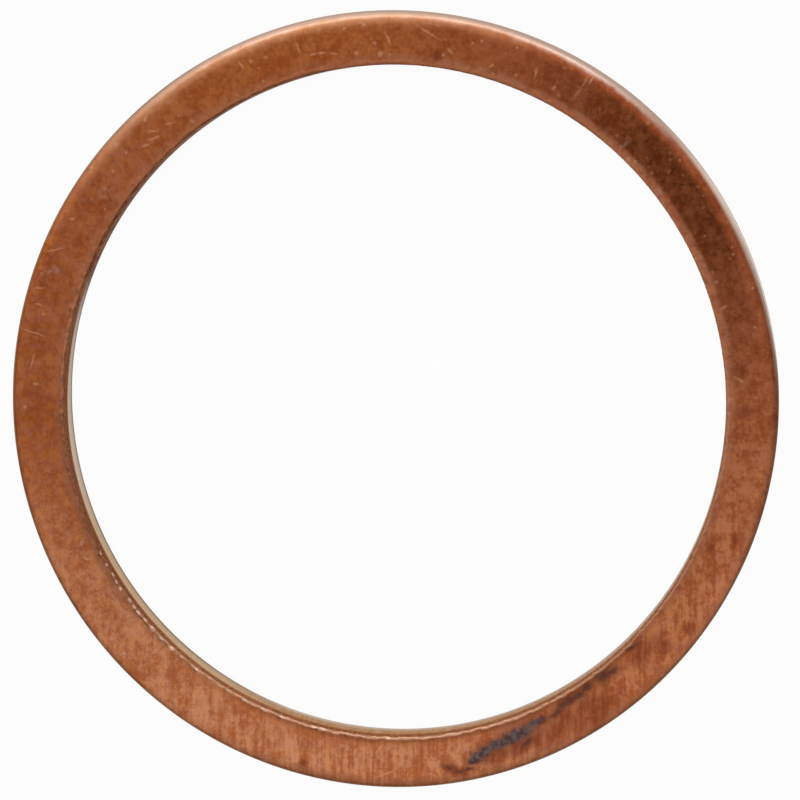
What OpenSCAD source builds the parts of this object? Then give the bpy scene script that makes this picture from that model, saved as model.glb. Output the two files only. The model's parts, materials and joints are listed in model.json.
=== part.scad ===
// Flat copper sealing washer, blanked in one piece from rolled strip.
// It lies on its lower face: the axis is Z and the lower face is at Z = 0.
// The rim was sheared from above and the bore from below, so each wall has
// a rounded die roll, a straight burnished land and a leaning fracture zone.

/* [Ring] */
// Bore diameter on the burnished land, mm
bore_d = 38; // [16:0.5:60]
// Width of the ring from bore to rim, mm
ring_w = 3; // [2:0.25:8]
// Thickness of the strip, mm
thickness = 2; // [1:0.1:3]

/* [Sheared edges] */
// Radius of the die roll around the rim's upper edge, mm
rim_roll = 0.35; // [0.1:0.05:0.4]
// Radius of the die roll around the bore's lower edge, mm
bore_roll = 0.3; // [0.1:0.05:0.4]
// Height of the zone that broke away instead of shearing, mm
fracture_h = 0.55; // [0.2:0.05:0.55]
// How far a fracture zone leans away from its land, mm
fracture_lean = 0.06; // [0.02:0.01:0.12]
// Width of the worn break on each crisp edge, mm
edge_break = 0.07; // [0.02:0.01:0.1]

/* [Hidden] */
$fn = 180;
copper = [0.56, 0.31, 0.18];
bore_r = bore_d / 2;
rim_r = bore_r + ring_w;

// Section of the ring before its die rolls, drawn in the plane of radius and height.
module sheared_section() {
    polygon([
        [bore_r, 0],
        [rim_r - fracture_lean - edge_break, 0],
        [rim_r - fracture_lean, edge_break],
        [rim_r, fracture_h],
        [rim_r, thickness],
        [bore_r + fracture_lean + edge_break, thickness],
        [bore_r + fracture_lean, thickness - edge_break],
        [bore_r, thickness - fracture_h],
    ]);
}

// What a die roll takes off a corner that points up and outwards, seen from the roll's centre.
module roll_waste(roll_r) {
    difference() {
        square(2 * roll_r);
        circle(r = roll_r);
    }
}

// The whole ring: the finished section turned once around the axis.
module washer() {
    color(copper)
    rotate_extrude()
    difference() {
        sheared_section();
        translate([rim_r - rim_roll, thickness - rim_roll])
            roll_waste(rim_roll);
        translate([bore_r + bore_roll, bore_roll])
            rotate(180)
            roll_waste(bore_roll);
    }
}

washer();
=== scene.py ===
# %% [markdown]
# # A copper crush washer
# The part is one flat ring, blanked from soft rolled copper strip. A drain plug or a union
# crushes it once, and the soft metal flows into every gap of the joint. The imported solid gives
# the sizes, and this lesson models the same ring again with its sheared edges in full detail,
# finishes it as worn rolled copper, and lights it as on a white table beside a window.

# %% Load the frame
import json
import math
import bmesh
import bpy
from mathutils import Matrix, Vector


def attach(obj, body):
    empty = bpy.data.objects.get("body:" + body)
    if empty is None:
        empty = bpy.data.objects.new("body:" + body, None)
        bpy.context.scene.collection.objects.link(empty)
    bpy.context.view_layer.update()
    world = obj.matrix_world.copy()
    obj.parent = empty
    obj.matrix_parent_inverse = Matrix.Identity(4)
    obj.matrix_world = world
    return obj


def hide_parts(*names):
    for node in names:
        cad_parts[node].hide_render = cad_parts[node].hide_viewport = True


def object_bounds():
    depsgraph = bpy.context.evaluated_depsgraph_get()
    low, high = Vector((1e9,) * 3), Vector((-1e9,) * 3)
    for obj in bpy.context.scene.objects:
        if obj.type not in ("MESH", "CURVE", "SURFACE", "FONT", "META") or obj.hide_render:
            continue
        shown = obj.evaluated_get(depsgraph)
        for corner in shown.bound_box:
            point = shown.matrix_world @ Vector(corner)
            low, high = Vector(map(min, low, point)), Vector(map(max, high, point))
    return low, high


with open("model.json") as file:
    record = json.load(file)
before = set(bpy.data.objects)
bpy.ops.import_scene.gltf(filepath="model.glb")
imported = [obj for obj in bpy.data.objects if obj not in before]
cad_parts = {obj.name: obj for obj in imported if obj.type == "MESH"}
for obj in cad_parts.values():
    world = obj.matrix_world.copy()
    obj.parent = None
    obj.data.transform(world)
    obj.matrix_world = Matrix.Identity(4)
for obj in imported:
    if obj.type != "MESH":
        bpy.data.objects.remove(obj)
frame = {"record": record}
cad_low, cad_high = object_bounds()
MM = 0.001
print("solid's box, mm:", [round(1000 * v, 3) for v in (*cad_low, *cad_high)])

# %% [markdown]
# ## Sizes
# The rim's radius and the thickness come from the solid's box, and the bore from the part's
# own mount. The sheared edges are too small to read there, so they are written as real sizes.
# A punch pulls the metal down before it cuts. So one edge of each wall is a soft die roll, the
# middle is a straight burnished land, and the last stretch tears off and leaves a crisp edge.

# %% Sizes of the ring and its sheared edges, in metres
thickness = cad_high.z - cad_low.z
rim_r = 0.5 * min(cad_high.x - cad_low.x, cad_high.y - cad_low.y)
bore_r = MM * next(m["dims"]["r_mm"] for m in frame["record"]["mounts"] if m["name"] == "bore")
ring_w = rim_r - bore_r
rim_roll_h = 0.36 * MM
rim_roll_w = 0.84 * MM
bore_roll = 0.3 * MM
fracture_h = 0.55 * MM
fracture_lean = 0.09 * MM
burr_w = 0.10 * MM
burr_h = 0.05 * MM
sag_w = 0.38 * MM
sag_h = 0.013 * MM
print("rim %.3f, bore %.3f, thickness %.3f mm" % (rim_r / MM, bore_r / MM, thickness / MM))

# %% [markdown]
# ## The section
# A turned or stamped ring is easiest to make from its section: a plane stands on edge beside
# the axis, its corners are bevelled into the die rolls, and its walls get the leaning fracture
# zones. Every step picks points by their place, because there is nobody to click on them.

# %% Stand a plane up as the ring's section
bpy.ops.object.select_all(action="DESELECT")
bpy.ops.mesh.primitive_plane_add(
    size=1, location=(bore_r + ring_w / 2, 0, thickness / 2), rotation=(math.pi / 2, 0, 0))
washer = bpy.context.object
washer.name = "washer_copper"
washer.data.name = "washer_copper"
washer.scale = (ring_w, thickness, 1)
bpy.ops.object.transform_apply(location=True, rotation=True, scale=True)
bpy.ops.object.mode_set(mode="EDIT")
bpy.ops.mesh.select_mode(type="VERT")
NEAR = 0.002 * MM


def pick(test):
    """Selects the section's points for which test(radius, height) holds."""
    mesh = bmesh.from_edit_mesh(washer.data)
    for point in mesh.verts:
        point.select_set(bool(test(math.hypot(point.co.x, point.co.y), point.co.z)))
    mesh.select_flush_mode()
    bmesh.update_edit_mesh(washer.data)
    return sum(point.select for point in mesh.verts)


def pick_at(radius, height):
    """Selects the one point at a radius and a height."""
    return pick(lambda r, z: abs(r - radius) < NEAR and abs(z - height) < NEAR)


def slide(radial, upward):
    """Moves the picked points out from the axis and up."""
    bpy.ops.transform.translate(value=(radial, 0, upward))


print("section of", pick(lambda r, z: True), "points stands beside the axis")

# %% [markdown]
# ### Die rolls
# The blanking punch came from below and the piercing punch from above, so the rim is rolled at
# the top and the bore at the bottom. A vertex bevel rounds a corner of a flat outline. The
# rim's roll reaches further in than down, so its points are then stretched towards the bore.

# %% Round the two die rolls
pick_at(rim_r, thickness)
bpy.ops.mesh.bevel(offset=rim_roll_h, segments=14, affect="VERTICES")
pick(lambda r, z: r > rim_r - rim_roll_h - NEAR and z > thickness - rim_roll_h - NEAR)
bpy.ops.transform.resize(
    value=(rim_roll_w / rim_roll_h, 1, 1), center_override=(rim_r, 0, thickness))
pick_at(bore_r, 0)
bpy.ops.mesh.bevel(offset=bore_roll, segments=6, affect="VERTICES")
print("points after the die rolls:", pick(lambda r, z: True))

# %% [markdown]
# ### Fracture zones
# Past the burnished land the strip tears, and the tear leans into the die's clearance. A wall
# is cut in two with subdivide, the new point slides to where the land ends, and the far corner
# slides back by the lean. A small bevel leaves the thin burr that catches the light.

# %% Lean the two fracture zones
pick(lambda r, z: r > rim_r - NEAR and z < thickness - rim_roll_h + NEAR)
bpy.ops.mesh.subdivide(number_cuts=1)
pick(lambda r, z: r > rim_r - NEAR and NEAR < z < thickness - rim_roll_h - NEAR)
slide(0, fracture_h - (thickness - rim_roll_h) / 2)
pick_at(rim_r, 0)
slide(-fracture_lean, 0)
pick_at(rim_r - fracture_lean, 0)
bpy.ops.mesh.bevel(offset=burr_h, segments=2, affect="VERTICES")

pick(lambda r, z: r < bore_r + NEAR and z > bore_roll - NEAR)
bpy.ops.mesh.subdivide(number_cuts=1)
pick(lambda r, z: r < bore_r + NEAR and bore_roll + NEAR < z < thickness - NEAR)
slide(0, thickness - fracture_h - (thickness + bore_roll) / 2)
pick_at(bore_r, thickness)
slide(fracture_lean, 0)
pick_at(bore_r + fracture_lean, thickness)
bpy.ops.mesh.bevel(offset=burr_h, segments=3, affect="VERTICES")
pick(lambda r, z: r < bore_r + fracture_lean + burr_h + NEAR and z > thickness - burr_h - NEAR)
bpy.ops.transform.resize(
    value=(burr_w / burr_h, 1, 1), center_override=(bore_r + fracture_lean, 0, thickness))
print("points after the fracture zones:", pick(lambda r, z: True))

# %% [markdown]
# ### A face that dips at the bore
# The piercing punch also drags the inner edge of the face down by a few hundredths of a
# millimetre. It is far too little to see as a shape, but polished metal mirrors the room, and
# the dip makes a band along the bore that mirrors another part of it.

# %% Divide the faces and dip the inner edge
face_in = bore_r + fracture_lean + burr_w
face_out = rim_r - rim_roll_w
pick(lambda r, z: z > thickness - NEAR and face_in - NEAR < r < face_out + NEAR)
bpy.ops.mesh.subdivide(number_cuts=13)
pick(lambda r, z: r < bore_r + fracture_lean + NEAR
     and thickness - fracture_h - NEAR < z < thickness - NEAR)
bpy.ops.mesh.subdivide(number_cuts=4)
pick(lambda r, z: z < NEAR)
bpy.ops.mesh.subdivide(number_cuts=2)
mesh = bmesh.from_edit_mesh(washer.data)
for point in mesh.verts:
    inward = (face_in + sag_w - point.co.x) / sag_w
    if point.co.z > thickness - burr_h - NEAR and inward > 0:
        point.co.z -= sag_h * inward ** 1.5
bmesh.update_edit_mesh(washer.data)
print("points in the section:", pick(lambda r, z: True))

# %% [markdown]
# ### One turn
# The Screw modifier sweeps the open outline around Z and welds the last step to the first.
# Each point also keeps its radius and height on the section as an attribute, so the finish can
# follow the walls and rolls after the ring has been bent.

# %% Turn the section once around the axis
TURN_STEPS = 1440
bpy.ops.mesh.select_all(action="SELECT")
bpy.ops.mesh.delete(type="ONLY_FACE")
bpy.ops.object.mode_set(mode="OBJECT")
bpy.ops.object.modifier_add(type="SCREW")
turning = washer.modifiers[-1]
turning.axis = "Z"
turning.angle = 2 * math.pi
turning.steps = TURN_STEPS
turning.render_steps = TURN_STEPS
turning.use_merge_vertices = True
turning.merge_threshold = NEAR / 10
bpy.ops.object.modifier_apply(modifier=turning.name)
bpy.ops.object.mode_set(mode="EDIT")
bpy.ops.mesh.select_all(action="SELECT")
bpy.ops.mesh.normals_make_consistent(inside=False)
bpy.ops.object.mode_set(mode="OBJECT")
section = washer.data.attributes.new("section", "FLOAT_VECTOR", "POINT")
for point, mark in zip(washer.data.vertices, section.data):
    mark.vector = (math.hypot(point.co.x, point.co.y) / MM, 0, point.co.z / MM)
print("ring:", len(washer.data.vertices), "points,", len(washer.data.polygons), "faces")

# %% [markdown]
# ## Torn edges and a soft ring
# Where the bore's wall tore, the edge is not a clean circle: it wanders up, down and sideways,
# and the light on it breaks up. Displace modifiers with cloud textures do that, each held to its
# own stretch of the section by a vertex group. Handling has also dented the rim's roll a little.


# %% Let the torn edges wander
def stretch(name, weight_at):
    """A vertex group whose weight follows the radius and the height."""
    group = washer.vertex_groups.new(name=name)
    weights = {}
    for point in washer.data.vertices:
        weight = weight_at(math.hypot(point.co.x, point.co.y), point.co.z)
        if weight > 0:
            weights.setdefault(round(weight, 3), []).append(point.index)
    for weight, points in weights.items():
        group.add(points, weight, "REPLACE")
    print(name, sum(len(p) for p in weights.values()), "points")


def displace(group, direction, strength, clouds=None, middle=0.5):
    """Displaces a stretch along a direction, by clouds of a given size or evenly."""
    bpy.ops.object.modifier_add(type="DISPLACE")
    move = washer.modifiers[-1]
    move.vertex_group = group
    move.direction = direction
    move.strength = strength
    move.mid_level = 0
    if clouds:
        move.mid_level = middle
        move.texture_coords = "LOCAL"
        move.texture = bpy.data.textures.new(group + "_clouds", "CLOUDS")
        move.texture.noise_scale = clouds
        move.texture.noise_depth = 2
    bpy.ops.object.modifier_apply(modifier=move.name)


BURR_DEPTH = 0.14 * MM
BURR_REACH = 0.3 * MM
ROLL_REACH = 1.0 * MM
ROLL_BLEND = 0.5 * MM
ROLL_EDGE = 0.12 * MM
bpy.ops.object.select_all(action="DESELECT")
washer.select_set(True)
bpy.context.view_layer.objects.active = washer
stretch("burr", lambda r, z: (z > thickness - BURR_DEPTH) * min(
    1.0, (face_in + BURR_REACH - r) / BURR_REACH))
stretch("torn", lambda r, z: float(r < face_in and thickness - fracture_h < z < thickness - burr_h))
stretch("roll", lambda r, z: (z > thickness / 2) * min(
    1.0, (r - rim_r + ROLL_REACH) / ROLL_BLEND, (rim_r - r) / ROLL_EDGE))
stretch("bore_side", lambda r, z: min(1.0, max(0.0, (rim_r - r) / ring_w)))
displace("burr", "NORMAL", strength=0.03 * MM, clouds=0.45 * MM, middle=0.7)
displace("burr", "X", strength=0.20 * MM, clouds=0.42 * MM)
displace("burr", "Y", strength=0.20 * MM, clouds=0.48 * MM)
displace("torn", "NORMAL", strength=0.03 * MM, clouds=0.12 * MM)
displace("roll", "Z", strength=0.018 * MM, clouds=0.6 * MM, middle=1.0)

# %% [markdown]
# A ring this soft is seldom quite round once it has been handled, its bore is not pressed the
# same way as its rim, and the bore is seldom quite in the middle. Each half of the ring is turned
# until its long axis lies along Y, narrowed along X and turned back. The two halves meet on the
# flat faces, where a sideways step of some hundredths of a millimetre can't be seen.

# %% Press the ring a little out of round
BORE_SHIFT = (0.106 * MM, 0.044 * MM)
SMOOTH_BELOW = math.radians(40)


def press(inner, roundness, long_axis, size=1.0):
    """Presses the bore's half or the rim's half of the ring into a slight oval."""
    bpy.ops.object.mode_set(mode="EDIT")
    bpy.ops.mesh.select_all(action="DESELECT")
    bpy.ops.object.mode_set(mode="OBJECT")
    for point in washer.data.vertices:
        point.select = (math.hypot(point.co.x, point.co.y) < bore_r + ring_w / 2) == inner
    bpy.ops.object.mode_set(mode="EDIT")
    turn = math.pi / 2 - math.radians(long_axis)
    bpy.ops.transform.rotate(value=-turn, orient_axis="Z", center_override=(0, 0, 0))
    bpy.ops.transform.resize(value=(size * roundness, size, 1), center_override=(0, 0, 0))
    bpy.ops.transform.rotate(value=turn, orient_axis="Z", center_override=(0, 0, 0))
    bpy.ops.object.mode_set(mode="OBJECT")
    reach = [math.hypot(p.co.x, p.co.y) for p in washer.data.vertices if p.select]
    least, most = round(min(reach) / MM, 3), round(max(reach) / MM, 3)
    print("pressed", len(reach), "points, now", least, "to", most, "mm from the axis")


press(inner=True, roundness=0.9849, long_axis=86.4, size=0.9975)
press(inner=False, roundness=0.9838, long_axis=74)
displace("bore_side", "X", strength=BORE_SHIFT[0])
displace("bore_side", "Y", strength=BORE_SHIFT[1])
bpy.ops.object.shade_smooth_by_angle(angle=SMOOTH_BELOW)
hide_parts("washer")
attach(washer, "root")

# %% [markdown]
# ## Words for wiring nodes
# A finish this detailed needs over a thousand nodes, and each kind is wired the same way every
# time. So each kind gets one short word: calc for a sum, ramp for a soft step, mix for a blend,
# noise for clouds, and nearest for a list of marks that were placed one by one.


# %% Words for colours, wires and sums
def tone(red, green, blue):
    """A colour read from 0 to 255, as the linear light that a shader wants."""
    shares = [c / 255 for c in (red, green, blue)]
    return tuple(c / 12.92 if c < 0.04 else ((c + 0.055) / 1.055) ** 2.4 for c in shares) + (1,)


def join(source, socket):
    """Wires a socket to a socket, or writes a plain value into it."""
    if isinstance(source, bpy.types.NodeSocket):
        tree.links.new(source, socket)
    else:
        socket.default_value = source


def calc(operation, *values):
    """A Math node on sockets or numbers."""
    sums = tree.nodes.new("ShaderNodeMath")
    sums.operation = operation
    for value, socket in zip(values, sums.inputs):
        join(value, socket)
    return sums.outputs[0]


def times(*values):
    """The product of several sockets or numbers."""
    product = values[0]
    for value in values[1:]:
        product = calc("MULTIPLY", product, value)
    return product


def vector_calc(operation, first, second, output="Vector"):
    """A Vector Math node on two vectors."""
    sums = tree.nodes.new("ShaderNodeVectorMath")
    sums.operation = operation
    join(first, sums.inputs[0])
    join(second, sums.inputs[1])
    return sums.outputs[output]


print("white as linear light:", tone(255, 255, 255))


# %% Words for steps, blends, noises and marks
def ramp(value, start, end, low=0.0, high=1.0):
    """A soft step: low before start, high after end."""
    step = tree.nodes.new("ShaderNodeMapRange")
    step.interpolation_type = "SMOOTHSTEP"
    join(value, step.inputs["Value"])
    for name, number in zip(("From Min", "From Max", "To Min", "To Max"), (start, end, low, high)):
        join(number, step.inputs[name])
    return step.outputs["Result"]


def mix(share, first, second):
    """A blend of two colours."""
    blend = tree.nodes.new("ShaderNodeMix")
    blend.data_type = "RGBA"
    join(share, blend.inputs[0])
    join(first, blend.inputs[6])
    join(second, blend.inputs[7])
    return blend.outputs[2]


def noise(shift, scales, detail=2.0, rough=0.5, output="Fac"):
    """Noise over the piece, shifted in millimetres, with so many features a millimetre."""
    cloud = tree.nodes.new("ShaderNodeTexNoise")
    moved = vector_calc("ADD", place, shift)
    join(vector_calc("MULTIPLY", moved, scales), cloud.inputs["Vector"])
    cloud.inputs["Scale"].default_value = 1
    cloud.inputs["Detail"].default_value = detail
    cloud.inputs["Roughness"].default_value = rough
    return cloud.outputs[output]


def nearest(vector, marks):
    """How far the nearest of some ellipses is: 0 in its middle and 1 on its outline."""
    best = None
    for x, y, half_length, half_width, turn in marks:
        ahead = Vector((math.cos(math.radians(turn)), math.sin(math.radians(turn)), 0))
        aside = Vector((-ahead.y, ahead.x, 0))
        away = vector_calc("SUBTRACT", vector, (x, y, 0))
        along = vector_calc("DOT_PRODUCT", away, ahead / half_length, "Value")
        across = vector_calc("DOT_PRODUCT", away, aside / half_width, "Value")
        far = calc("MULTIPLY_ADD", across, across, calc("MULTIPLY", along, along))
        best = far if best is None else calc("MINIMUM", best, far)
    return calc("SQRT", best)


def facing(x, y, start, end, low=0.0, high=1.0):
    """A soft step over the ring, between two distances in millimetres towards X and Y."""
    return ramp(vector_calc("DOT_PRODUCT", flat, (x, y, 0), "Value"), start, end, low, high)


def swing(cloud, *shares):
    """A noise that swings about nought, times some shares."""
    return times(calc("SUBTRACT", cloud, 0.5), *shares)


print("words for nodes: calc, times, vector_calc, ramp, mix, noise, nearest, facing, swing")

# %% [markdown]
# ## Rolled copper
# The copper is one metal with many tones. Object coordinates, turned into millimetres, carry
# every pattern, so the marks stay on the metal when the part is moved. The section attribute
# says how far a point is from the axis and how high it was before the ring was bent.

# %% Start the copper
copper = bpy.data.materials.new("rolled_copper")
copper.use_nodes = True
tree = copper.node_tree
shader = tree.nodes["Principled BSDF"]
washer.data.materials.clear()
washer.data.materials.append(copper)
place = vector_calc("SCALE", tree.nodes.new("ShaderNodeTexCoord").outputs["Object"], (0, 0, 0))
place.node.inputs["Scale"].default_value = 1 / MM
flat = vector_calc("MULTIPLY", place, (1, 1, 0))
on_section = tree.nodes.new("ShaderNodeAttribute")
on_section.attribute_name = "section"
split = tree.nodes.new("ShaderNodeSeparateXYZ")
join(on_section.outputs["Vector"], split.inputs[0])
radius, height = split.outputs["X"], split.outputs["Z"]
high = thickness / MM
rim_mm = rim_r / MM
bore_mm = bore_r / MM
print("copper from %.1f to %.1f mm off the axis, %.1f mm high" % (bore_mm, rim_mm, high))

# %% [markdown]
# ### The worn face
# The strip was rolled along Y, so short streaks run that way, most of all at the front. Over
# them lie flecks, broad patches and a slow change between a brown and a pink cast. All of
# that moves one value, wear, between a deep and a pale copper. The front is paler. The back is
# ruddier and darker on the right, painted shade that deepens the dark shape the face mirrors there.

# %% Noises of the face
fleck = noise((0, 0, 0), (1.9, 1.7, 1.7), detail=2, rough=0.9)
streak = noise((3, 0, 0), (2.9, 0.42, 0.42), detail=2, rough=0.6)
line = noise((8, 3, 0), (6.0, 0.6, 0.6), detail=1, rough=0.5)
swath = noise((11, 5, 0), (1.1, 0.3, 0.3), detail=1, rough=0.5)
patch = noise((5, 43, 9), (0.55, 0.5, 0.5), detail=2, rough=0.55)
cast = noise((31, 7, 3), (1.5, 1.4, 1.4), detail=2, rough=0.85)
fine = noise((0, 0, 0), (9, 6, 7), detail=1, rough=0.6)
print("noises: fleck, streak, line, swath, patch, cast and fine")

# %% Wear of the face
streaky = facing(0.25, -0.97, -4, 15)
combed = times(streaky, facing(0.45, -0.89, 8, 18, low=0.72, high=1.4))
combed = times(combed, ramp(patch, 0.35, 0.65, low=0.7, high=1.25))
mottle = times(
    facing(0.98, 0.2, -12, 14, low=1.4, high=2.15),
    facing(0.5, -0.87, 10, 18, low=1.0, high=0.95),
    facing(0.7, 0.71, 12, 19, low=1.0, high=0.72),
    facing(-0.7, -0.71, 11, 18, low=1.0, high=0.88))
wear = swing(streak, combed)
wear = calc("ADD", wear, swing(line, combed, 0.6))
wear = calc("ADD", wear, swing(swath, streaky, 0.6))
wear = calc("ADD", wear, swing(fine, facing(-0.5, -0.87, 8, 16, high=0.5)))
wear = calc("ADD", wear, swing(fleck, mottle))
wear = calc("ADD", wear, swing(patch, facing(-0.7, -0.71, 11, 18, low=0.85, high=0.58)))
wear = ramp(wear, -0.38, 0.38)
print("wear: six noises in one value from 0 to 1")

# %% Tones of the face
BROWN_COPPER = (tone(153, 77, 33), tone(178, 103, 54))
PINK_COPPER = (tone(147, 77, 47), tone(173, 103, 71))
PALE_FRONT_BROWN = (tone(166, 91, 49), tone(200, 134, 90))
PALE_FRONT_PINK = (tone(160, 91, 59), tone(195, 132, 98))
RUDDY_SHADED_COPPER = (tone(138, 67, 38), tone(164, 89, 57))
# Paler copper towards the front.
pallor = times(facing(-0.35, -0.94, 9, 18), facing(0.3, -0.95, 17.3, 20, low=1.0, high=0.82))
pallor = calc("MAXIMUM", pallor, facing(0.6, -0.8, 10, 19, high=0.36))
pink = times(ramp(cast, 0.32, 0.68), facing(0.2, 0.98, 10, 16, low=1.0, high=0.25))
pink = calc("MAXIMUM", pink, facing(1, 0, 14, 20, high=0.5))


def worn_copper(brown_pair, pink_pair):
    """Copper between two casts, each a deep and a pale tone."""
    deep = mix(pink, brown_pair[0], pink_pair[0])
    pale = mix(pink, brown_pair[1], pink_pair[1])
    return mix(wear, deep, pale)


colour = mix(pallor, worn_copper(BROWN_COPPER, PINK_COPPER), worn_copper(PALE_FRONT_BROWN, PALE_FRONT_PINK))
# Painted shade: ruddier, darker copper at the back on the right, where the face mirrors the dark shape
# above.
colour = mix(facing(0.7, 0.71, 12, 20, high=0.7), colour, mix(wear, *RUDDY_SHADED_COPPER))
print("face: brown and pink copper, haze at the front, ruddy at the back on the right")

# %% [markdown]
# ### Bands along the edges
# Along most of the bore the face is pinker. It is dusky on the left and warm at the front,
# where a brown band of painted shade runs beside the burr. Along the rim the front is mauve, and at
# the front and on the left its last stretch is darker brown, painted shade broken up by the wear.
# Each band has an uneven edge, so its width is taken from the radius with some noise added to it.

# %% Bands beside the bore
ragged = calc("ADD", radius, swing(noise((9, 2, 1), (0.9, 0.9, 0.9), detail=3, rough=0.7), 0.9))
band = ramp(ragged, bore_mm + 0.72, bore_mm + 0.36)
# A pinker band along most of the bore.
pinker_band = calc(
    "MAXIMUM", facing(0.15, -0.99, -2, 12, low=0.48, high=0.0), facing(0.75, 0.66, 8, 15, high=0.9))
pinker_band = calc("MAXIMUM", pinker_band, facing(1, 0, 12, 18, high=0.5))
pinker_band = times(band, pinker_band, ramp(fleck, 0.3, 0.62, low=0.35, high=1.0))
colour = mix(pinker_band, colour, tone(166, 106, 77))
dusk = times(ramp(ragged, bore_mm + 0.75, bore_mm + 0.25), facing(-0.94, -0.35, 16.5, 18.5, high=0.5))
colour = mix(dusk, colour, tone(134, 82, 62))
warm = times(ramp(ragged, bore_mm + 0.95, bore_mm + 0.45), facing(0.1, -1, 11, 17, high=0.4))
colour = mix(warm, colour, tone(170, 94, 53))
# Painted shade: a brown band beside the burr at the front.
burr_shade = times(ramp(radius, bore_mm + 0.52, bore_mm + 0.28), facing(0.25, -0.97, 13, 18, high=0.5))
colour = mix(burr_shade, colour, tone(134, 72, 43))
print("bands beside the bore: rubbed, dusk, warm and gutter")

# %% Bands beside the rim
mauve = times(ramp(ragged, rim_mm - 0.75, rim_mm - 0.35), facing(0.45, -0.89, 9, 17, high=0.5))
colour = mix(mauve, colour, tone(152, 95, 70))
# Painted shade: the rim's last stretch at the front and on the left is darker brown, broken up by wear.
front_and_left = calc(
    "MAXIMUM", facing(0.25, -0.97, 17, 20, high=0.75), facing(-0.87, -0.5, 16, 21, high=0.35))
rim_shade = times(ramp(ragged, rim_mm - 0.75, rim_mm - 0.2), front_and_left, ramp(wear, 0.25, 0.75, low=1.1, high=0.55))
colour = mix(rim_shade, colour, tone(142, 84, 53))
print("bands beside the rim: mauve and brim")

# %% [markdown]
# ### From the picture to the metal
# Stains and scratches are copied from a photograph. Their places are read off it in pixels from
# its upper left corner. A line from the camera's eye through such a place meets the face at one
# point, and there the mark belongs. So the camera's numbers are needed already here.
# Its axes are built by hand, because the picture's upright has to follow Y.

# %% Read places off the picture
PICTURE = 800
SENSOR = 36
LENS = 116.66
CAMERA_AT = Vector((18.81, 18.81, 144.67)) * MM
CAMERA_AIM = Vector((0.553, 0.263, 1.0)) * MM
backward = (CAMERA_AT - CAMERA_AIM).normalized()
rightward = Vector((0, 1, 0)).cross(backward).normalized()
upward = backward.cross(rightward)


def on_face(across, down):
    """The point of the face, in millimetres, that lies at a place in the picture."""
    aside = (across - PICTURE / 2) / PICTURE * SENSOR / LENS
    above = (PICTURE / 2 - down) / PICTURE * SENSOR / LENS
    sight = rightward * aside + upward * above - backward
    point = CAMERA_AT + sight * ((thickness - CAMERA_AT.z) / sight.z)
    return point.x / MM, point.y / MM


def blots(marks):
    """Ellipses, each from its place in the picture, two half sizes in millimetres and a turn."""
    return [(*on_face(across, down), *shape) for across, down, *shape in marks]


print("middle of the picture lies at %.2f, %.2f mm" % on_face(PICTURE / 2, PICTURE / 2))

# %% [markdown]
# ### Stains
# A splash of old gasket dressing has burnt onto the front of the face: a chain of slate grey
# patches, brown where it is thin, with rusty metal around it. Each patch is an ellipse placed
# one by one, and a noise that shifts the coordinates frays their outlines into one chain.

# %% Places of the stains
SLATE = [
    (516, 735.5, 0.85, 0.29, 28), (508, 741, 0.45, 0.20, 20), (496.5, 745, 0.40, 0.22, 25),
    (484.5, 752, 0.34, 0.26, 30), (477.5, 757, 0.34, 0.24, 40), (534, 723.5, 0.34, 0.18, 35),
    (503, 742, 0.28, 0.11, 20), (472.5, 761, 0.23, 0.14, 40)]
BROWN = [
    (541, 720, 0.28, 0.17, 30), (556, 713, 0.40, 0.14, 40), (563, 704.5, 0.28, 0.15, 30),
    (569, 700.5, 0.34, 0.19, 30), (578, 695, 0.34, 0.17, 30), (587, 687.5, 0.28, 0.14, 40),
    (603, 676, 0.40, 0.23, 30), (612, 671.5, 0.26, 0.12, 40), (459, 771, 0.22, 0.08, -5),
    (448.5, 767.5, 0.16, 0.08, -20), (468.5, 769, 0.22, 0.07, 20), (528, 742, 0.34, 0.14, 45),
    (632, 648, 0.28, 0.07, 30)]
RUSTY = [
    (565, 725, 1.5, 0.56, 35), (500, 756, 0.8, 0.34, 20), (520, 748, 0.8, 0.40, 25),
    (590, 705, 0.9, 0.40, 40), (645, 650, 1.0, 0.40, 45), (665, 648, 0.45, 0.34, 20),
    (690, 628, 0.34, 0.28, 20), (598, 713.5, 1.3, 0.5, 42), (303, 762.5, 0.20, 0.17, 0),
    (437, 55.5, 0.28, 0.23, 0), (710, 545, 0.24, 0.38, 0), (735, 540, 0.15, 0.36, 0),
    (745.5, 412, 0.28, 0.34, 0), (738.5, 372, 0.40, 0.34, 0), (456, 770, 0.75, 0.30, -12),
    (544.5, 737.5, 0.9, 0.45, 30)]
print("stains:", len(SLATE), "slate,", len(BROWN), "brown,", len(RUSTY), "rusty")

# %% Tones of the stains
warp = noise((0, 0, 0), (2.2, 2.0, 2.0), detail=4, rough=0.66, output="Color")
warp = vector_calc("SUBTRACT", warp, (0.5, 0.5, 0.5))
drift = vector_calc("ADD", flat, vector_calc("MULTIPLY", warp, (0.5, 0.5, 0)))
slate = nearest(drift, blots(SLATE))
brown = nearest(drift, blots(BROWN))
rusty = ramp(nearest(drift, blots(RUSTY)), 1.8, 0.5)
rusty = times(rusty, ramp(streak, 0.66, 0.36, low=0.5, high=0.85))
colour = mix(rusty, colour, tone(126, 61, 37))
halo = ramp(calc("MINIMUM", slate, brown), 3.6, 0.9, low=0.0, high=0.68)
colour = mix(halo, colour, tone(118, 62, 42))
colour = mix(ramp(brown, 1.7, 0.5, low=0.0, high=0.85), colour, tone(88, 55, 46))
burnt = ramp(slate, 1.85, 0.6)
crust = noise((2, 8, 4), (3.4, 3.4, 3.4), detail=2, rough=0.7)
slate_tone = mix(ramp(crust, 0.34, 0.68), tone(70, 52, 51), tone(100, 87, 89))
colour = mix(times(burnt, 0.95), colour, slate_tone)
print("copper so far:", len(tree.nodes), "nodes")

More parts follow.
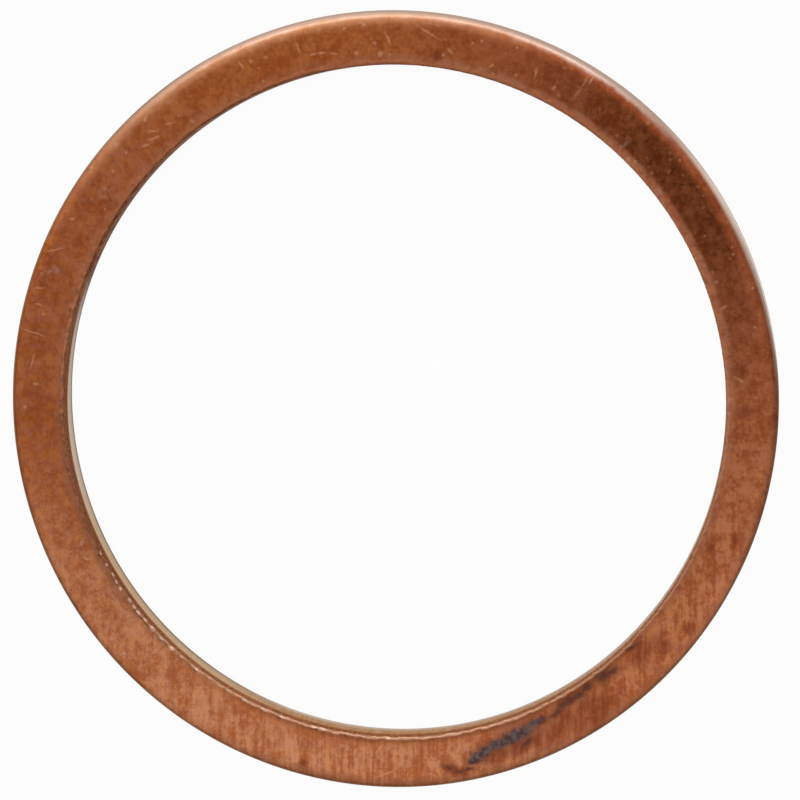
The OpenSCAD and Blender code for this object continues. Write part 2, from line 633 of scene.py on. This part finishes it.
# %% [markdown]
# ### Scratches and specks
# Handling leaves short pale scratches, small bright specks and a few soft scuffs. The large ones
# are read off the picture one by one, a scratch by its two ends. A noise cut off near its top
# scatters many finer specks between them.

# %% Places of the scratches
SCRATCHES = [
    (296, 42.5, 300, 52.5, 0.07), (385, 32.5, 391, 44.5, 0.08), (416, 25, 439, 39, 0.06),
    (447, 48.5, 453, 53.5, 0.09), (309, 55.5, 318, 53.5, 0.06), (318, 53.5, 326, 52.5, 0.06),
    (330, 52.5, 338, 54.5, 0.06), (238, 61.5, 244, 68.5, 0.06), (342, 30.5, 347, 26.5, 0.08),
    (359, 21.5, 366, 25.5, 0.09), (489, 67.5, 494, 64.5, 0.08), (535, 77, 537, 67, 0.07),
    (552, 89.5, 556, 85.5, 0.10), (588, 77, 574.5, 97.5, 0.07), (593, 77, 589, 85, 0.06),
    (667, 174, 672, 169, 0.06), (720, 310, 727, 306, 0.08), (144, 123, 146, 116, 0.08),
    (148, 132, 158, 131, 0.06), (148, 140.5, 161, 135.5, 0.07), (141, 147, 150, 144, 0.06),
    (164.5, 124.5, 176, 122.5, 0.05), (69.5, 219, 75.5, 219, 0.08), (34.5, 288, 44.5, 288, 0.07),
    (34.5, 303, 43.5, 306, 0.05), (23.5, 329, 44.5, 336, 0.06), (34, 354, 31, 367, 0.06),
    (32.5, 384, 38.5, 384, 0.09), (45.5, 252, 63.5, 248, 0.05), (82.5, 557, 89.5, 560, 0.07),
    (376, 777.5, 394, 770.5, 0.06), (376, 752.5, 382, 744.5, 0.07), (738.5, 379, 743.5, 382, 0.07)]


def strokes(marks):
    """Thin ellipses, each between two places in the picture and with a half width."""
    ellipses = []
    for across, down, next_across, next_down, half_width in marks:
        start = Vector(on_face(across, down))
        along = Vector(on_face(next_across, next_down)) - start
        middle = start + along / 2
        turn = math.degrees(math.atan2(along.y, along.x))
        ellipses.append((middle.x, middle.y, along.length / 2, half_width, turn))
    return ellipses


print("scratches:", len(SCRATCHES))

# %% Places of the specks and scuffs
SPECKS = [
    (251, 61, 0.10), (265.5, 57, 0.10), (235, 55, 0.07), (356, 53, 0.12), (375, 43, 0.11),
    (380, 54, 0.15), (263, 81, 0.09), (443, 55, 0.09), (473, 43, 0.08), (482, 41, 0.08),
    (517, 48, 0.08), (516, 75, 0.10), (559, 96, 0.12), (617, 136, 0.10), (625, 145, 0.09),
    (635, 162, 0.09), (652, 173, 0.09), (670, 159, 0.08), (680, 160, 0.08), (698, 187, 0.08),
    (703, 196, 0.08), (705, 236, 0.08), (732, 247, 0.08), (733, 254, 0.08), (713, 272, 0.09),
    (716, 282, 0.09), (753, 288, 0.09), (718, 372, 0.09), (755, 327, 0.08), (126, 153, 0.08),
    (113, 171, 0.09), (91, 168, 0.09), (105, 209, 0.07), (25, 407, 0.10), (43, 314, 0.08),
    (124, 653, 0.09)]
SCUFFS = [
    (170, 101.5, 0.16, 0.13, 0), (117, 145, 0.22, 0.16, 0), (40.5, 274, 0.14, 0.12, 0),
    (54.5, 269.5, 0.55, 0.18, 10), (107, 190.5, 0.5, 0.3, 50), (656, 195.5, 0.45, 0.22, 45),
    (623.5, 145.5, 0.4, 0.15, 40), (81.5, 544, 0.3, 0.12, 60)]
print("specks:", len(SPECKS), "and scuffs:", len(SCUFFS))

# %% Tones of the scratches, specks and scuffs
shaken = vector_calc("ADD", flat, vector_calc("MULTIPLY", warp, (0.2, 0.2, 0)))
scratch = ramp(nearest(shaken, strokes(SCRATCHES)), 1.5, 0.2)
dots = blots([(across, down, size, size, 0) for across, down, size in SPECKS])
speck = ramp(nearest(shaken, dots), 1.5, 0.5)
scattered = ramp(noise((17, 29, 3), (2.6, 2.6, 2.6), detail=1, rough=0.4), 0.66, 0.78)
speck = calc("MAXIMUM", speck, times(scattered, facing(0.35, 0.94, -6, 12, low=0.2, high=0.7)))
scuff = ramp(nearest(drift, blots(SCUFFS)), 1.6, 0.2)
scuff = times(scuff, ramp(fleck, 0.36, 0.62, low=0.05, high=0.34))
colour = mix(scuff, colour, tone(190, 150, 138))
marks = calc("MAXIMUM", times(scratch, 0.62), times(speck, 0.5))
marks = times(marks, ramp(fleck, 0.25, 0.55, low=0.5, high=1.0))
colour = mix(marks, colour, tone(208, 150, 116))
print("copper so far:", len(tree.nodes), "nodes")

# %% [markdown]
# ### Sheared walls
# The land is smeared smooth by the tool. It is tan in the bore and plain copper on most of the
# rim. Lower down it is paler, a painted reflection of the white table. On the left of the bore it
# is nearly white, a painted reflection, with darker brown above and a painted dark shadow below.
# The torn zone is rough and brown. At the back the bore's whole wall is dark brown painted shade.

# %% Where the walls lie
torn_bore = times(ramp(height, high - 0.72, high - 0.36), ramp(radius, bore_mm + 0.12, bore_mm + 0.07))
torn_rim = times(ramp(height, 0.62, 0.5), ramp(radius, rim_mm - 0.12, rim_mm - 0.08))
torn = calc("MAXIMUM", torn_bore, torn_rim)
bore_wall = ramp(radius, bore_mm + 0.05, bore_mm + 0.005)
rim_wall = times(ramp(radius, rim_mm - 0.05, rim_mm - 0.005), ramp(height, high - 0.3, high - 0.4))
walls = calc("MAXIMUM", calc("MAXIMUM", bore_wall, rim_wall), torn)
far_side = times(rim_wall, facing(0.7, 0.71, 4, 12, low=1.0, high=0.0))
left = times(facing(-1, -0.25, 10, 15), calc("SUBTRACT", 1.0, rim_wall))
whiter = facing(-1, 0.3, 13, 18)
# Painted shade: at the back the bore's whole wall is painted dark brown and matte.
back_shade = facing(-0.3, 0.95, 8.5, 12.5)
bore_shade = times(back_shade, walls, ramp(radius, rim_mm - 1.5, rim_mm - 2.0))
print("walls: bore and rim, each with a land and a torn zone")

# %% Tones of the walls
axial = noise((0, 0, 0), (4, 4, 0.5), detail=2, rough=0.6)
axial = ramp(axial, 0.3, 0.7)
land_tone = mix(axial, tone(204, 152, 108), tone(224, 178, 136))
# Painted reflection: on the left of the bore the land is painted nearly white, like the table it
# mirrors.
land_tone = mix(left, land_tone, mix(whiter, tone(236, 204, 168), tone(246, 228, 212)))
# Low down the wall is painted pale, a painted reflection of the table; on the left its foot is painted
# dark, a painted shadow.
lip_tone = mix(left, tone(250, 240, 228), tone(106, 88, 76))
land_tone = mix(times(left, ramp(height, 0.60, 0.30)), land_tone, lip_tone)
land_tone = mix(calc("SUBTRACT", ramp(height, 0.95, 0.35), left), land_tone, lip_tone)
# Darker brown high up on the left wall.
rise = calc("ADD", height, facing(-0.9, 0.44, 14.5, 18.8, high=0.45))
upper_brown = times(ramp(rise, 1.36, 1.66), facing(-1, -0.35, 12, 17))
land_tone = mix(upper_brown, land_tone, mix(whiter, tone(144, 88, 58), tone(104, 62, 44)))
rim_tone = mix(axial, tone(189, 117, 79), tone(205, 134, 94))
land_tone = mix(far_side, land_tone, rim_tone)
grain = ramp(fine, 0.35, 0.65)
torn_tone = mix(grain, tone(144, 84, 50), tone(186, 121, 81))
dark_torn = mix(grain, tone(130, 76, 48), tone(158, 98, 66))
torn_tone = mix(facing(-0.95, -0.2, 13.5, 17.5), torn_tone, dark_torn)
wall_tone = mix(torn, land_tone, torn_tone)
# The painted shade at the back of the bore, in dark brown.
bore_shade_tone = mix(ramp(fleck, 0.42, 0.58), tone(100, 55, 31), tone(150, 87, 49))
wall_tone = mix(bore_shade, wall_tone, bore_shade_tone)
colour = mix(walls, colour, wall_tone)
print("copper so far:", len(tree.nodes), "nodes")

# %% [markdown]
# ### Rolls and the bright line
# Where the rim's roll catches the window at the back, it is painted pale as a painted highlight,
# with a painted glow beside it, and its steep outer edge is a pale painted reflection. Elsewhere
# that edge is grey-brown and duller. The burr on the bore is bare metal, painted pale along the
# front as a broken painted highlight, and small painted glints sit on it, most at the front on the left.

# %% Tones of the rim's roll
back = times(facing(0.15, 0.97, 10, 18), facing(-0.15, 0.97, 10, 16))
side = ramp(height, high - 0.6, high - 0.4)
uneven = calc("ADD", times(radius, 0.5), times(ragged, 0.5))
# Painted highlight: at the back the roll is painted pale, where it mirrors the window.
roll = times(ramp(uneven, rim_mm - 0.55, rim_mm - 0.15), ramp(height, high - 0.5, high - 0.35), back)
colour = mix(times(roll, 0.75), colour, tone(230, 207, 194))
# Painted glow: lighter copper beside the roll at the back softens the window's highlight.
painted_glow = times(ramp(uneven, rim_mm - 1.05, rim_mm - 0.3), side, facing(-0.3, 0.95, 14, 21, high=0.5))
colour = mix(painted_glow, colour, tone(199, 150, 112))
# Painted reflection: the steep outer edge is painted pale at the back and whiter on the right, like the
# table.
upper = facing(0.45, 0.89, 10, 14)
corner = facing(0.97, 0.26, 18.5, 21)
sheer_w = calc("ADD", 0.26, times(corner, facing(0.26, 0.97, 9, 15), 0.15))
inward = calc("DIVIDE", calc("SUBTRACT", rim_mm, radius), sheer_w)
sheer = times(ramp(inward, 1.0, 0.12), side, upper)
colour = mix(sheer, colour, mix(corner, tone(204, 174, 156), tone(248, 226, 210)))
# Elsewhere the rim's last stretch is grey-brown and duller.
grey_edge_band = times(ramp(radius, rim_mm - 0.13, rim_mm - 0.05), side, calc("SUBTRACT", 1.0, upper))
grey_edge = mix(facing(-0.6, 0.8, 8, 14), tone(138, 103, 85), tone(174, 138, 112))
colour = mix(times(grey_edge_band, 0.9), colour, grey_edge)
print("rim: polished roll, glow, sheer edge and grease")

# %% Tones of the burr
burr_line = times(ramp(radius, bore_mm + 0.235, bore_mm + 0.19), ramp(height, high - 0.16, high - 0.11))
# Painted shade: the burr is darker brown at the back.
colour = mix(times(burr_line, back_shade), colour, tone(152, 92, 62))
front = times(facing(-0.55, -0.84, 2, 14), facing(0.2, -0.98, 5, 14))
colour = mix(times(burr_line, front, 0.7), colour, tone(190, 122, 84))
blush = calc("MAXIMUM", facing(0.85, -0.53, 12, 17), facing(-1, 0, 16.5, 18.5, high=0.5))
colour = mix(times(burr_line, blush, 0.45), colour, tone(186, 136, 112))
# Painted highlight: along the front the burr is painted pale in a broken line, where it mirrors the
# window.
broken = ramp(noise((3, 3, 3), (2.2, 2.2, 2.2), detail=2, rough=0.8), 0.36, 0.56)
broken = calc("MAXIMUM", broken, facing(0, -1, 12, 17, high=0.6))
colour = mix(times(burr_line, broken, front), colour, tone(198, 150, 122))
print("burr: pale line, broken at the front")

# %% Painted glints on the burr
BURR_GLINTS = [
    (100.5, 553, 0.08), (106.5, 565, 0.07), (113, 574.5, 0.09), (116, 582, 0.09), (120.5, 589, 0.09),
    (129.5, 600.5, 0.10), (134, 607, 0.09), (138, 612.5, 0.11), (145, 620, 0.10), (152.5, 629, 0.12),
    (161, 638.5, 0.10), (171.5, 648.5, 0.12), (196, 669, 0.09), (244, 700, 0.10), (262.5, 708.5, 0.08),
    (281, 716.5, 0.08), (314, 726.5, 0.12), (322.5, 728.5, 0.10), (388, 738.5, 0.09)]
GLINT_LENGTH = 1.5
GLINT_WIDTH = 0.8
glints = []
for across, down, size in BURR_GLINTS:
    x, y = on_face(across, down)
    glints.append((x, y, GLINT_LENGTH * size, GLINT_WIDTH * size, math.degrees(math.atan2(x, -y))))
# Painted glints: small near-white spots along the burr's highlight.
glint = times(ramp(nearest(flat, glints), 1.4, 0.5), ramp(height, high - 0.13, high - 0.08))
colour = mix(times(glint, 0.8), colour, tone(240, 200, 178))
print("nicks:", len(glints))

# %% [markdown]
# ### Gloss and relief
# The rolled face is almost a mirror and the torn walls are dull. The slate stain and the bore's
# painted shade are matte, not metal. The specular tint lowers the white glare that bare copper
# would show at a very flat angle. A bump of three thousandths of a millimetre keeps the
# mirror from looking like glass.

# %% Finish the copper
BUMP_H = 0.003 * MM
join(colour, shader.inputs["Base Color"])
dull = calc("MAXIMUM", times(burnt, 0.7), times(bore_shade, 0.95))
join(calc("SUBTRACT", 1.0, dull), shader.inputs["Metallic"])
shader.inputs["Specular IOR Level"].default_value = 0.05
shader.inputs["Specular Tint"].default_value = (0.72, 0.62, 0.54, 1)
rough = calc("ADD", ramp(fleck, 0.3, 0.7, low=0.14, high=0.165), times(torn, 0.35))
rough = calc("ADD", rough, times(calc("MAXIMUM", dull, grey_edge_band), 0.3))
rough = calc("ADD", rough, times(ramp(radius, rim_mm - 0.85, rim_mm - 0.4), 0.12))
join(rough, shader.inputs["Roughness"])
relief = tree.nodes.new("ShaderNodeBump")
relief.inputs["Strength"].default_value = 0.4
relief.inputs["Distance"].default_value = BUMP_H
join(calc("ADD", times(streak, 0.4), fleck), relief.inputs["Height"])
join(relief.outputs["Normal"], shader.inputs["Normal"])
print("copper:", len(tree.nodes), "nodes")

# %% [markdown]
# ## Table
# The washer lies on a plain white table. The camera sees it almost as pure light, so the ground
# stays white, and a small share of true shading keeps the washer's shadow on it. The copper
# mirrors more of the true shading, so the wall above a shadow stays dark.

# %% Floor
TABLE_SIZE = 4
TABLE_GAP = 0.02 * MM
SEEN_WHITE = 0.94
MIRRORED_WHITE = 0.35
bpy.ops.mesh.primitive_plane_add(size=TABLE_SIZE, location=(0, 0, -TABLE_GAP))
floor = bpy.context.object
floor.name = "floor"
table = bpy.data.materials.new("white_table")
table.use_nodes = True
tree = table.node_tree
paint = tree.nodes["Principled BSDF"]
paint.inputs["Base Color"].default_value = (0.8, 0.8, 0.8, 1)
paint.inputs["Roughness"].default_value = 0.9
white = tree.nodes.new("ShaderNodeEmission")
white.inputs["Color"].default_value = (1, 1, 1, 1)
white.inputs["Strength"].default_value = 1
path = tree.nodes.new("ShaderNodeLightPath")
blend = tree.nodes.new("ShaderNodeMixShader")
seen = times(path.outputs["Is Camera Ray"], SEEN_WHITE)
mirrored = times(path.outputs["Is Glossy Ray"], MIRRORED_WHITE)
join(calc("MAXIMUM", seen, mirrored), blend.inputs[0])
join(paint.outputs[0], blend.inputs[1])
join(white.outputs[0], blend.inputs[2])
join(blend.outputs[0], tree.nodes["Material Output"].inputs["Surface"])
floor.data.materials.append(table)
print("table:", TABLE_SIZE, "m wide,", len(tree.nodes), "nodes")

# %% [markdown]
# ## Room
# Flat metal shows the room, so the room is the most important light. It is pale all around,
# lighter at the front and at the back, and darker low down and on the right. Almost straight above
# the washer something dark hangs, as a camera would, and a fainter dark arm reaches from it to the
# back on the right. The face mirrors both.

# %% World
world = bpy.data.worlds.new("studio")
bpy.context.scene.world = world
world.use_nodes = True
tree = world.node_tree
sky = tree.nodes.new("ShaderNodeTexCoord").outputs["Generated"]


def toward(x, y, z, start, end, low, high):
    """A soft step over the sky, towards a direction."""
    return ramp(vector_calc("DOT_PRODUCT", sky, (x, y, z), "Value"), start, end, low, high)


OVERHEAD = [(-0.014, -0.040, 0.054, 0.054, 0)]
ARM = [(0.10, 0.06, 0.13, 0.08, 38)]
shade = ramp(nearest(sky, OVERHEAD), 0.72, 1.29, low=0.04, high=1.0)
arm = ramp(nearest(sky, ARM), 0.72, 1.29, low=0.60, high=1.0)
level = toward(-0.1, -1, 0, 0.10, 0.32, low=0.775, high=1.05)
level = times(level, toward(0, 0, 1, 0.1, 0.6, low=0.45, high=1.0))
level = times(level, toward(0.87, 0.5, 0, 0.1, 0.7, low=1.0, high=0.6))
level = times(level, toward(-1, -0.2, 0, 0.15, 0.32, low=1.0, high=0.905))
level = calc("ADD", level, toward(-0.15, 0.99, 0, 0.02, 0.40, low=0.0, high=0.45))
level = times(level, shade, arm)
ray = tree.nodes.new("ShaderNodeLightPath")
level = calc("MAXIMUM", level, ray.outputs["Is Camera Ray"])
tree.nodes["Background"].inputs["Color"].default_value = (1, 1, 1, 1)
join(level, tree.nodes["Background"].inputs["Strength"])
print("room:", len(tree.nodes), "nodes")

# %% [markdown]
# ## Window
# One broad soft light at the back stands for the window. It lies low enough that only the rim's
# roll mirrors it, as one long highlight.

# %% Window light
WINDOW_AT = (-0.025, 0.235, 0.265)
bpy.ops.object.light_add(type="AREA", location=WINDOW_AT)
window = bpy.context.object
window.name = "window"
window.data.shape = "RECTANGLE"
window.data.size = 0.35
window.data.size_y = 0.05
window.data.energy = 0.10
window.rotation_euler = (-window.location).to_track_quat("-Z", "Y").to_euler()
print("window: %.2f m away, %.2f W" % (window.location.length, window.data.energy))

# %% [markdown]
# ## Camera
# The camera looks almost straight down, a little from the upper right, so the front of the
# bore shows its wall. Its place, lens and axes were settled before the stains were placed.

# %% Camera
bpy.ops.object.camera_add(location=CAMERA_AT)
camera = bpy.context.object
camera.data.sensor_width = SENSOR
camera.data.lens = LENS
camera.data.clip_start = 0.01
camera.rotation_euler = Matrix((rightward, upward, backward)).transposed().to_euler()
bpy.context.scene.camera = camera
bpy.context.scene.view_settings.view_transform = "Standard"
print("camera: %.0f mm from its aim" % ((CAMERA_AT - CAMERA_AIM).length / MM))
